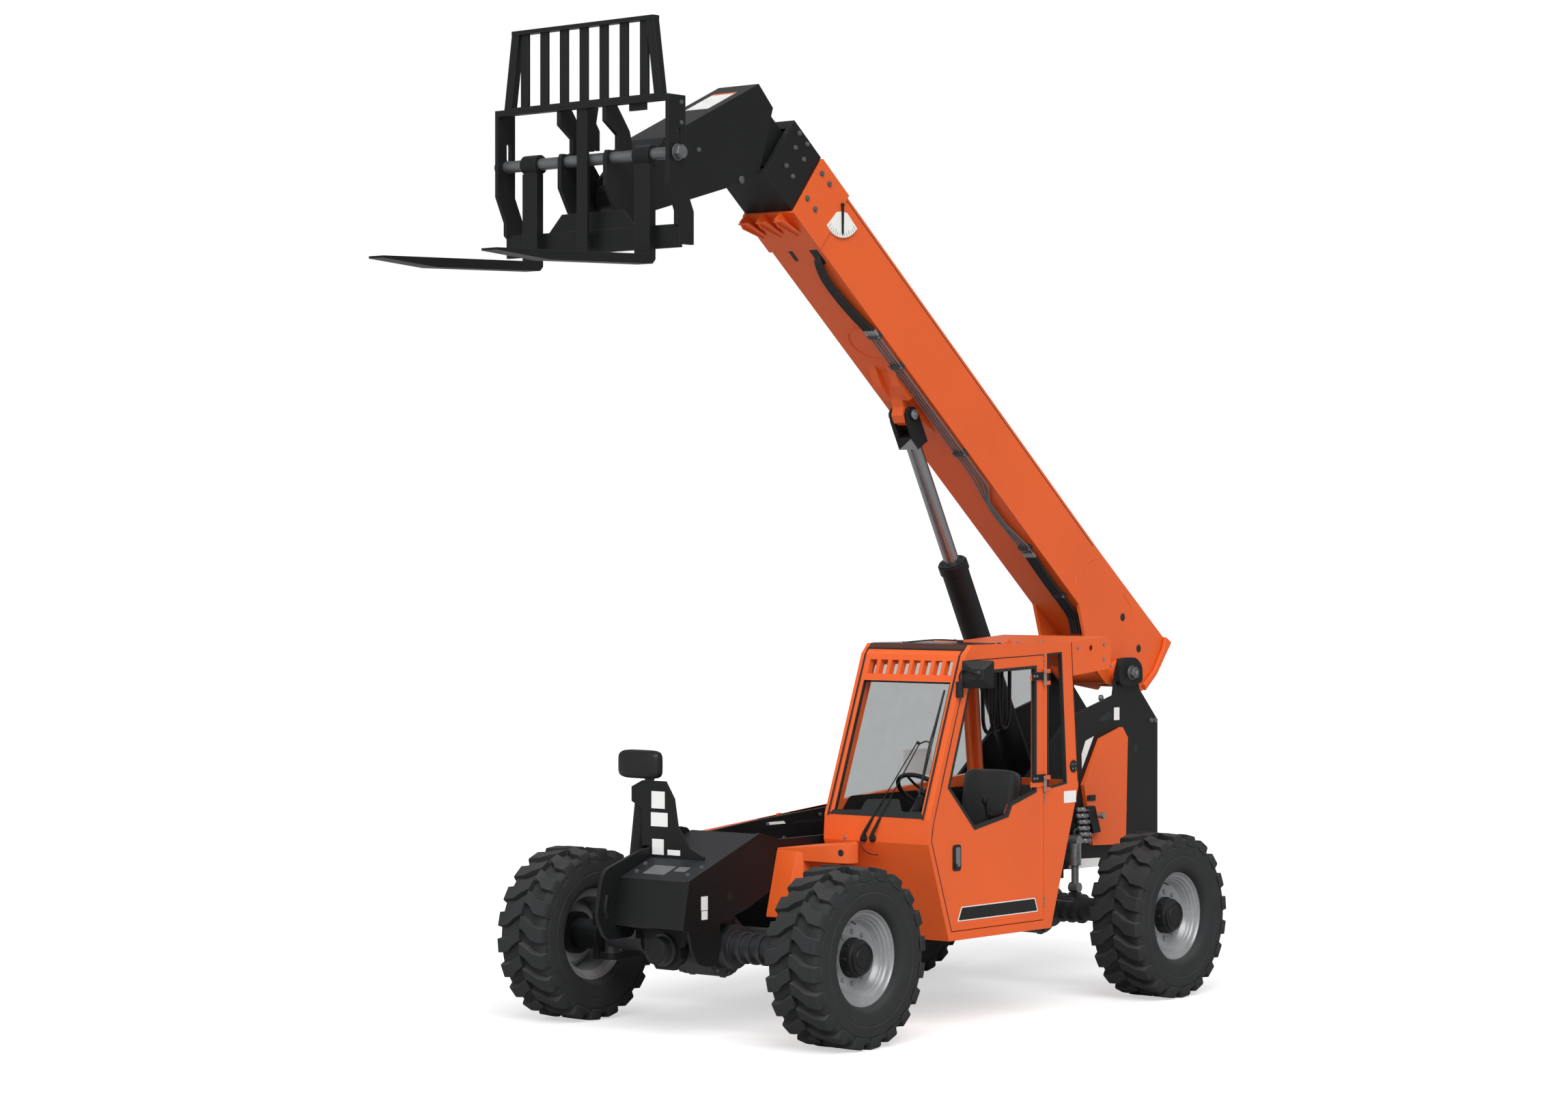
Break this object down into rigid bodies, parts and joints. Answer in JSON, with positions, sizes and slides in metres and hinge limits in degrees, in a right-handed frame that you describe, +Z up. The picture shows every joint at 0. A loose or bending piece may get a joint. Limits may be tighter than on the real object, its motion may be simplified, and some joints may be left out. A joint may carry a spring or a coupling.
{
  "type": "telehandler_forklift",
  "caption": "Telescopic-boom rough-terrain forklift truck in orange and black with an enclosed cab, four-wheel steer and a raised boom that carries a pair of forks",
  "frame": {"origin": "on the ground, under the middle of the overall length", "axes": "+X forward, the way the forks point; +Y to the cab side; +Z up"},
  "size_m": [7.1853, 2.678, 6.1348],
  "materials": {
    "paint_orange": "satin",
    "paint_black": "satin",
    "tyre": "matte",
    "rim_grey": "satin",
    "pin_steel": "satin",
    "stabiliser": "satin",
    "hose_rubber": "satin",
    "line_steel": "satin",
    "glass": "gloss",
    "seat_vinyl": "matte",
    "black_plastic": "matte",
    "engine_iron": "matte",
    "dial_white": "satin"
  },
  "bodies": {
    "chassis": {"frame_left": "paint_black", "frame_right": "paint_black", "front_deck": "paint_black", "belly_floor": "paint_black", "tower_floor": "paint_black", "front_post": "paint_black", "front_axle": "paint_black", "rear_axle": "paint_black", "engine_tray": "paint_black", "engine_block": "engine_iron", "cab_shell": "paint_orange", "cab_windows": "glass", "hose_cover": "paint_orange", "fender_front_left": "paint_orange", "rear_side_cover": "paint_orange", "boom_pivot_pin": "pin_steel", "lift_foot_pins": "pin_steel", "front_mirror": "black_plastic", "sway_cylinder": "paint_black", "stabiliser_cylinder": "stabiliser", "valve_block": "pin_steel", "hose_loops": "hose_rubber", "seat": "seat_vinyl", "dash_console": "black_plastic", "steering_wheel": "black_plastic"},
    "hood": {"engine_hood": "paint_orange"},
    "door": {"cab_door": "paint_orange", "door_window": "glass", "cab_mirror": "black_plastic"},
    "boom_base": {"base_boom": "paint_orange", "boom_lines": "line_steel", "angle_dial": "dial_white"},
    "boom_mid": {"mid_boom": "paint_black"},
    "boom_fly": {"fly_boom": "paint_black"},
    "level_pin": {"tilt_pin": "pin_steel"},
    "carriage": {"fork_carriage": "paint_black", "fork_shaft": "pin_steel", "backrest": "paint_black", "fork_left": "paint_black", "fork_right": "paint_black"},
    "lift_rod": {"lift_rod": "pin_steel"},
    "lift_barrel": {"lift_barrel": "paint_black"},
    "knuckle_front_left": {"knuckle_front_left": "paint_black"},
    "wheel_front_left": {"rim_front_left": "rim_grey", "tyre_front_left": "tyre"},
    "knuckle_front_right": {"knuckle_front_right": "paint_black"},
    "wheel_front_right": {"rim_front_right": "rim_grey", "tyre_front_right": "tyre"},
    "knuckle_rear_left": {"knuckle_rear_left": "paint_black"},
    "wheel_rear_left": {"rim_rear_left": "rim_grey", "tyre_rear_left": "tyre"},
    "knuckle_rear_right": {"knuckle_rear_right": "paint_black"},
    "wheel_rear_right": {"rim_rear_right": "rim_grey", "tyre_rear_right": "tyre"}
  },
  "joints": [
    {"name": "boom_lift", "type": "hinge", "parent": "chassis", "child": "boom_base", "pos_m": [-2.96, 0, 2.13], "axis": [0, -1, 0], "range_deg": [-43, 32]},
    {"name": "boom_mid_extend", "type": "slide", "parent": "boom_base", "child": "boom_mid", "axis": [0.7771, 0, 0.6293], "range_m": [0, 2.95]},
    {"name": "boom_fly_extend", "type": "slide", "parent": "boom_mid", "child": "boom_fly", "axis": [0.7771, 0, 0.6293], "range_m": [0, 2.95]},
    {"name": "carriage_level", "type": "hinge", "parent": "boom_fly", "child": "level_pin", "pos_m": [1.95, 0, 5.12], "axis": [0, -1, 0], "range_deg": [-32, 43]},
    {"name": "carriage_tilt", "type": "hinge", "parent": "level_pin", "child": "carriage", "pos_m": [1.95, 0, 5.12], "axis": [0, -1, 0], "range_deg": [-20, 15]},
    {"name": "lift_rod_swing", "type": "hinge", "parent": "boom_base", "child": "lift_rod", "pos_m": [-0.79254, 0, 3.88517], "axis": [0, -1, 0], "range_deg": [-10, 10]},
    {"name": "lift_barrel_slide", "type": "slide", "parent": "lift_rod", "child": "lift_barrel", "axis": [-0.4776, 0, -0.8786], "range_m": [-0.75, 0.58]},
    {"name": "door_hinge", "type": "hinge", "parent": "chassis", "child": "door", "pos_m": [-0.722, 1.2015, 1.45], "axis": [0, 0, 1], "range_deg": [0, 100]},
    {"name": "hood_hinge", "type": "hinge", "parent": "chassis", "child": "hood", "pos_m": [-0.575, -0.342, 1.32044], "axis": [-0.9969, 0, 0.0785], "range_deg": [0, 65]},
    {"name": "steer_front_left", "type": "hinge", "parent": "chassis", "child": "knuckle_front_left", "pos_m": [1.175, 0.8, 0.548], "axis": [0, 0, 1], "range_deg": [-35, 35]},
    {"name": "roll_front_left", "type": "hinge", "parent": "knuckle_front_left", "child": "wheel_front_left", "pos_m": [1.175, 1.103, 0.548], "axis": [0, 1, 0], "continuous": true},
    {"name": "steer_front_right", "type": "hinge", "parent": "chassis", "child": "knuckle_front_right", "pos_m": [1.175, -0.8, 0.548], "axis": [0, 0, 1], "range_deg": [-35, 35]},
    {"name": "roll_front_right", "type": "hinge", "parent": "knuckle_front_right", "child": "wheel_front_right", "pos_m": [1.175, -1.103, 0.548], "axis": [0, 1, 0], "continuous": true},
    {"name": "steer_rear_left", "type": "hinge", "parent": "chassis", "child": "knuckle_rear_left", "pos_m": [-2.155, 0.8, 0.548], "axis": [0, 0, 1], "range_deg": [-35, 35]},
    {"name": "roll_rear_left", "type": "hinge", "parent": "knuckle_rear_left", "child": "wheel_rear_left", "pos_m": [-2.155, 1.103, 0.548], "axis": [0, 1, 0], "continuous": true},
    {"name": "steer_rear_right", "type": "hinge", "parent": "chassis", "child": "knuckle_rear_right", "pos_m": [-2.155, -0.8, 0.548], "axis": [0, 0, 1], "range_deg": [-35, 35]},
    {"name": "roll_rear_right", "type": "hinge", "parent": "knuckle_rear_right", "child": "wheel_rear_right", "pos_m": [-2.155, -1.103, 0.548], "axis": [0, 1, 0], "continuous": true}
  ],
  "couplings": [
    {"joint": "boom_fly_extend", "follows": "boom_mid_extend", "ratio": 1},
    {"joint": "carriage_level", "follows": "boom_lift", "ratio": -1},
    {"joint": "lift_rod_swing", "follows": "boom_lift", "ratio": -0.12},
    {"joint": "lift_barrel_slide", "follows": "boom_lift", "m_per_rad": 0.97},
    {"joint": "steer_front_right", "follows": "steer_front_left", "ratio": 1},
    {"joint": "steer_rear_right", "follows": "steer_rear_left", "ratio": 1}
  ]
}
